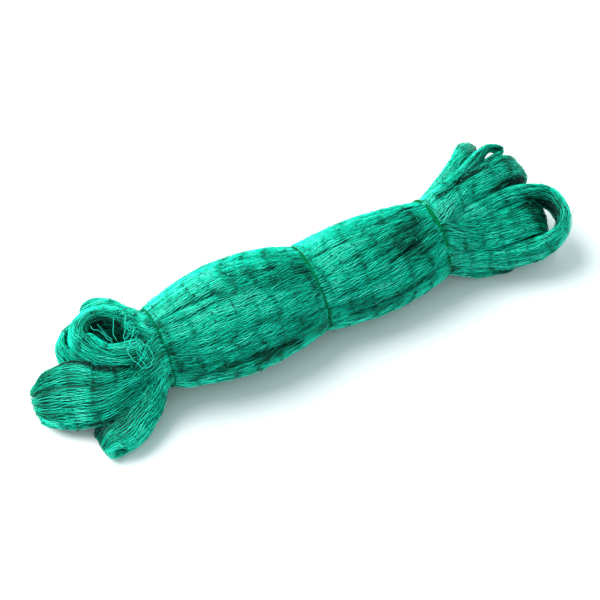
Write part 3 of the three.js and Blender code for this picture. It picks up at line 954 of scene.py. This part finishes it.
tangle, fringe, right_hairs, belly_hairs = Cloth(), Cloth(), Cloth(), Cloth()
strands_along(tangle, TANGLE, 12, [4.5, 5, 1.2], 1.8 * MM, 71)
for number, loop in enumerate(TANGLE_LOOPS):
    add_strand(tangle, loop, 170 + number, 0.9 * MM, 0.19 * MM, 0.9)
strands_along(fringe, FRINGE, 30, [2.6, 1.8, 1.6], 1.5 * MM, 72)
for number, hair in enumerate(HAIRS):
    add_strand(right_hairs, hair, 270 + number, 0.6 * MM, 0.17 * MM, 0.1)
for number, hair in enumerate(BELLY_HAIRS):
    add_strand(belly_hairs, hair, 370 + number, 0.6 * MM, 0.17 * MM, 0.1)
loose = {
    "left_tangle": tangle.piece("left_tangle", [TWINE]),
    "fan_fringe": fringe.piece("fan_fringe", [TWINE]),
    "right_hairs": right_hairs.piece("right_hairs", [TWINE]),
    "belly_hairs": belly_hairs.piece("belly_hairs", [TWINE]),
}

# %% [markdown]
# ## What each piece replaces
#
# The hank bends at its ties, but the bellies, the bights and the tangle keep the places they were built
# in, and nothing bends them there. The bands and most of the loose threads are hung on an empty for the
# body of the frame that they lie on. Each belly, bight and band hides the parts of the frame that it
# replaces.

# %% Replacing, and hanging the bands and loose threads
BEND_REACH = 24 * MM


def node_names(prefix):
    return [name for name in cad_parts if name.startswith(prefix)]


for side, pieces in bellies.items():
    for half, piece in pieces.items():
        start = TIES["middle"]["at"]
        if side == "left":
            start - [BEND_REACH, 0, 0]
            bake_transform(piece)
        else:
            start + [BEND_REACH, 0, 0]
            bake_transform(piece)
        if half != "core":
            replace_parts(piece, *node_names(f"{side}_pass_{half}"))
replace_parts(bellies["left"]["core"], "left_neck")
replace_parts(bellies["right"]["core"], "middle_neck", "right_neck")

for side, pieces in (("left", left_bights), ("right", right_bights)):
    way = -1 if side == "left" else 1
    start = TIES[side]["at"]
    for name, piece in pieces.items():
        start + [way * BEND_REACH, 0, 0]
        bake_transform(piece)
        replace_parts(piece, name)
    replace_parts(pieces[f"{side}_{'fan' if side == 'left' else 'open'}_bight"], f"{side}_root")

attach(loose["belly_hairs"], "right_half")
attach(loose["right_hairs"], "right_bights")
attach(loose["fan_fringe"], "left_bights")
start = TIES["left"]["at"]
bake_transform(loose["left_tangle"], "left_half", "left_bights", start=start, end=start - [BEND_REACH, 0, 0])

for side, band in bands.items():
    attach(band, "middle_waist" if side == "middle" else f"{side}_half")
    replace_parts(band, f"{side}_band")

# %% [markdown]
# ## Floor and light
#
# A flat white floor six metres across, a broad soft light from the upper left behind the hank, and an
# even white sky. The soft light draws the long highlight on the hank's far shoulder, and lets its shadow
# fall towards the lower right.

# %% Floor and light
def make_floor():
    mesh = bpy.data.meshes.new("floor")
    reach = 3.0
    corners = [(-reach, -reach, 0), (reach, -reach, 0), (reach, reach, 0), (-reach, reach, 0)]
    mesh.from_pydata(corners, [], [(0, 1, 2, 3)])
    finish = Finish("floor", specular_ior_level=0.1, base_color=(0.93, 0.93, 0.93, 1), roughness=0.9)
    mesh.materials.append(finish.material)
    floor = bpy.data.objects.new("floor", mesh)
    bpy.context.scene.collection.objects.link(floor)


def make_light(name, place, size, power):
    data = bpy.data.lights.new(name, "AREA")
    data.shape, data.size, data.energy = "DISK", size, power
    light = bpy.data.objects.new(name, data)
    place = Vector(place)
    light.matrix_world = Matrix.Translation(place) @ (-place).to_track_quat("-Z", "Y").to_matrix().to_4x4()
    bpy.context.scene.collection.objects.link(light)


make_floor()
KEY_PLACE, KEY_SIZE, KEY_POWER = (-0.7, 0.9, 1.4), 1.9, 56
SKY_COLOUR, SKY_STRENGTH = (0.83, 0.99, 1.03, 1), 0.78
make_light("key", KEY_PLACE, KEY_SIZE, KEY_POWER)
world = bpy.data.worlds.new("sky")
world.use_nodes = True
world.node_tree.nodes["Background"].inputs["Color"].default_value = SKY_COLOUR
world.node_tree.nodes["Background"].inputs["Strength"].default_value = SKY_STRENGTH
bpy.context.scene.world = world
bpy.context.scene.view_settings.view_transform = "Standard"
